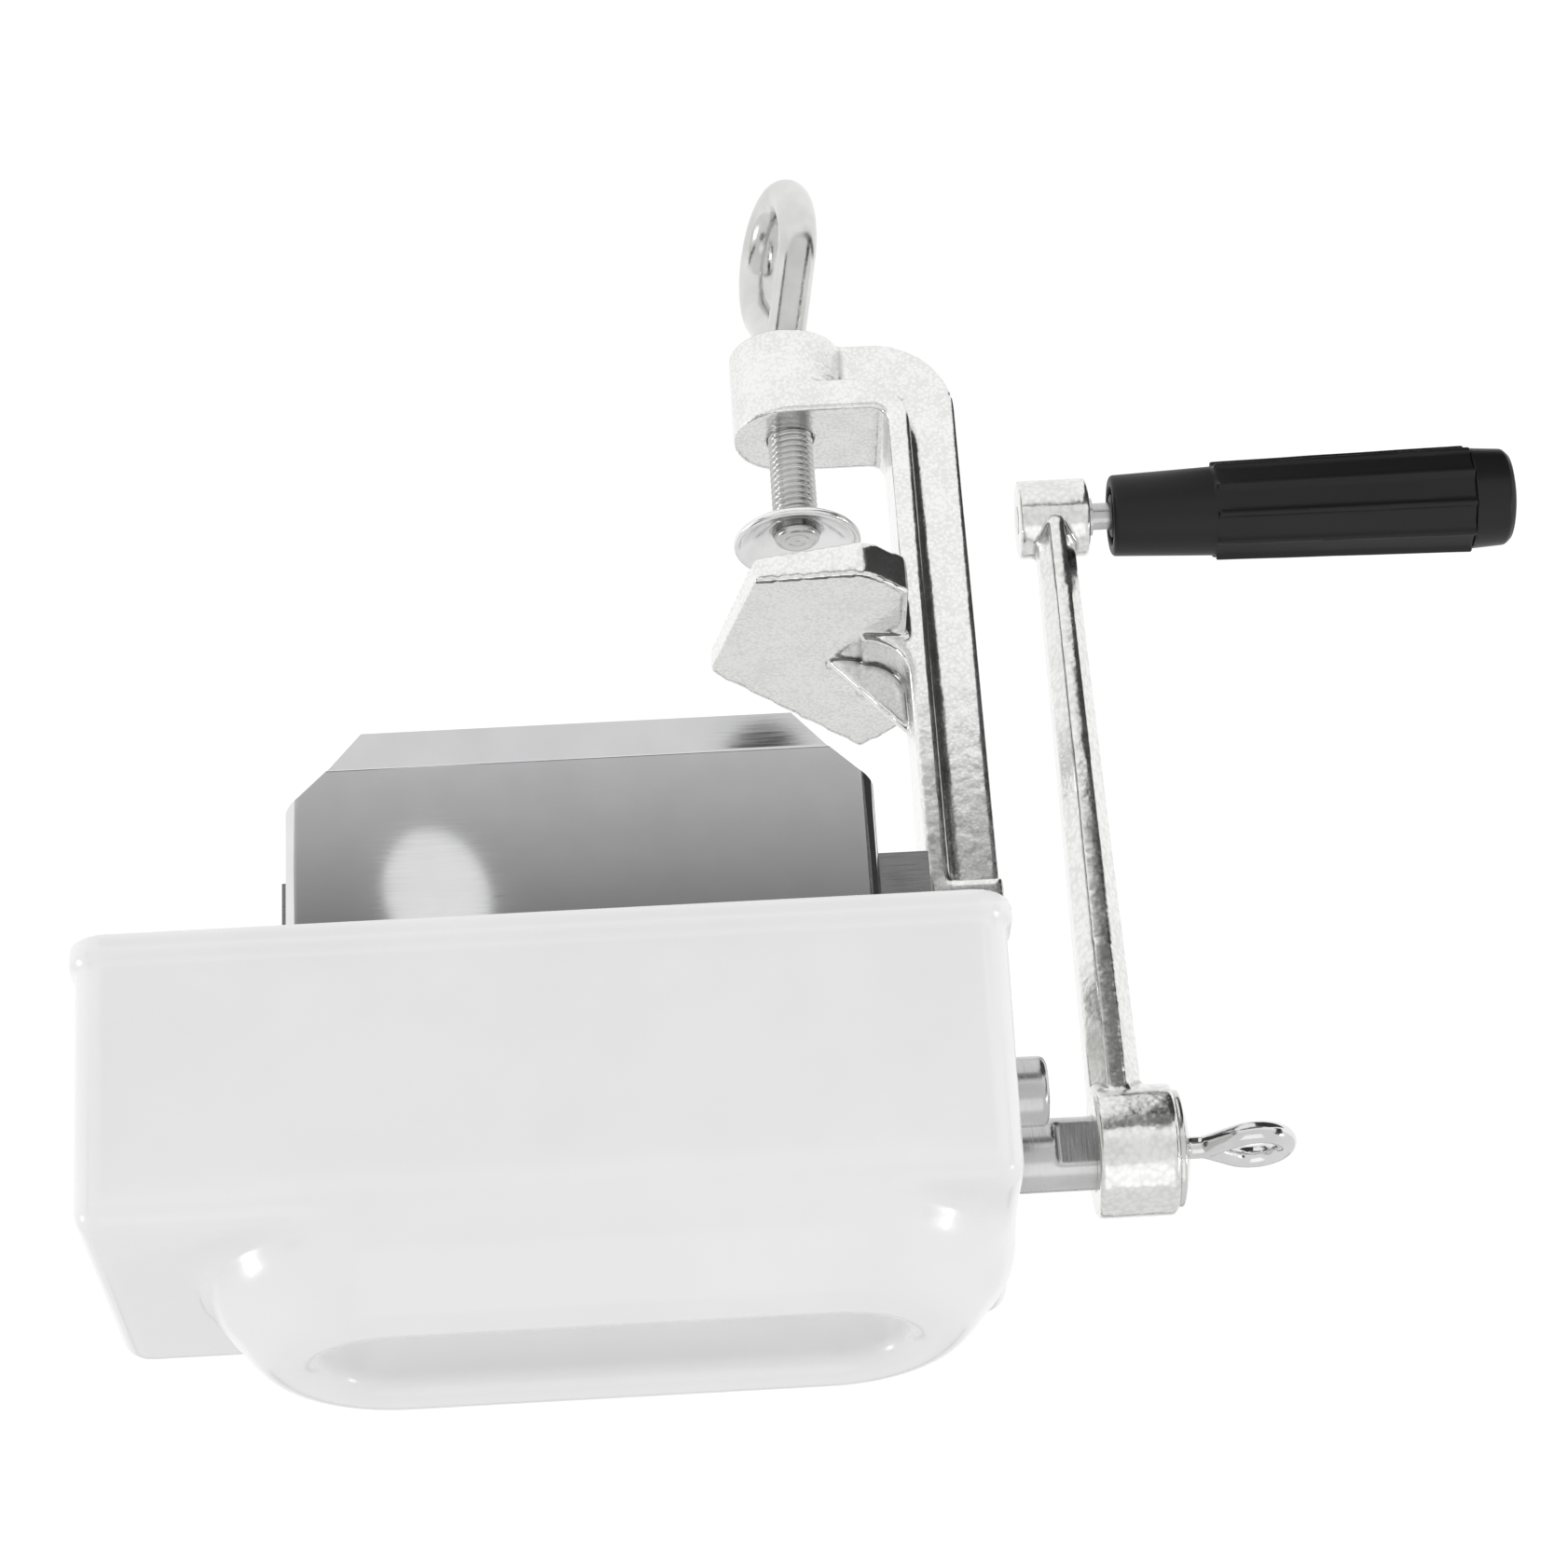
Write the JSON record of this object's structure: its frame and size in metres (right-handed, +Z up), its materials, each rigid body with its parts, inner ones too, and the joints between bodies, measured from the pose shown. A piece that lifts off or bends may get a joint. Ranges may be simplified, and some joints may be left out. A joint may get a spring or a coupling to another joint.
{
  "type": "meat tenderizer",
  "caption": "Hand-cranked tenderizer: two geared rollers of blades under a white hopper cover, with a discharge chute, clamped to a table edge by a screw",
  "frame": {"origin": "on the clamp screw's axis, in the underside of the foot plate that rests on the table top", "axes": "+Z up; +X along the rollers from the crank to the gears; -Y the side of the discharge chute"},
  "size_m": [0.3095, 0.0814, 0.2764],
  "materials": {
    "cast_frame": "rough as-cast with a bright plated skin",
    "steel_plate": "plated plate, fine grain",
    "fasteners": "zinc plated",
    "comb_steel": "cold rolled stainless",
    "chute_steel": "polished stainless sheet",
    "shaft_steel": "turned",
    "blade_steel": "ground edges",
    "spacer_plastic": "moulded",
    "gear_steel": "oiled, hobbed teeth",
    "ring_steel": "spring steel",
    "bush_bronze": "sintered bronze",
    "cover_plastic": "glossy moulded white",
    "cast_crank": "rough as-cast with a bright plated skin",
    "washer_steel": "plated, domed by a press",
    "eye_steel": "plated wire",
    "grip_plastic": "satin black moulding",
    "cap_plastic": "satin black moulding",
    "screw_steel": "forged eye and cut thread, plated",
    "pad_steel": "pressed, plated"
  },
  "bodies": {
    "frame": {"clamp_frame": "cast_frame", "gear_side_plate": "steel_plate", "front_rail": "steel_plate", "rear_rail": "steel_plate", "rail_screws": "fasteners", "front_comb": "comb_steel", "rear_comb": "comb_steel", "front_comb_screws": "fasteners", "rear_comb_screws": "fasteners", "discharge_chute": "chute_steel", "drive_bush_crank_side": "bush_bronze", "front_bush_crank_side": "bush_bronze", "drive_bush_gear_side": "bush_bronze", "front_bush_gear_side": "bush_bronze"},
    "crank_roller": {"drive_shaft": "shaft_steel", "rear_blades": "blade_steel", "rear_spacers": "spacer_plastic", "drive_gear": "gear_steel", "drive_gear_key": "fasteners", "drive_gear_ring": "ring_steel", "crank_arm": "cast_crank", "crank_washer": "washer_steel", "crank_eye_screw": "eye_steel", "grip_spindle": "shaft_steel"},
    "front_roller": {"front_roller_shaft": "shaft_steel", "front_blades": "blade_steel", "front_spacers": "spacer_plastic", "driven_gear": "gear_steel", "driven_gear_key": "fasteners", "driven_gear_ring": "ring_steel"},
    "grip": {"handle_grip": "grip_plastic", "grip_end_cap": "cap_plastic"},
    "pad": {"clamp_pad": "pad_steel"},
    "screw": {"clamp_screw": "screw_steel"},
    "cover": {"cover_walls": "cover_plastic", "cover_top": "cover_plastic"}
  },
  "joints": [
    {"name": "crank_spin", "type": "hinge", "parent": "frame", "child": "crank_roller", "pos_m": [0, 0.0165, 0.116], "axis": [1, 0, 0], "continuous": true},
    {"name": "front_roller_spin", "type": "hinge", "parent": "frame", "child": "front_roller", "pos_m": [0, -0.0165, 0.116], "axis": [1, 0, 0], "continuous": true},
    {"name": "grip_spin", "type": "hinge", "parent": "crank_roller", "child": "grip", "pos_m": [-0.11, 0.0165, -0.036], "axis": [1, 0, 0], "continuous": true},
    {"name": "pad_travel", "type": "slide", "parent": "frame", "child": "pad", "axis": [0, 0, 1], "range_m": [-0.02, 0]},
    {"name": "screw_turn", "type": "hinge", "parent": "pad", "child": "screw", "pos_m": [0, 0, -0.06], "axis": [0, 0, 1], "range_deg": [-4752, 0]},
    {"name": "cover_lift", "type": "slide", "parent": "frame", "child": "cover", "axis": [0, 0, 1], "range_m": [0, 0.09]}
  ],
  "couplings": [
    {"joint": "front_roller_spin", "follows": "crank_spin", "ratio": -1},
    {"joint": "pad_travel", "follows": "screw_turn", "m_per_rad": 0.00023873}
  ]
}
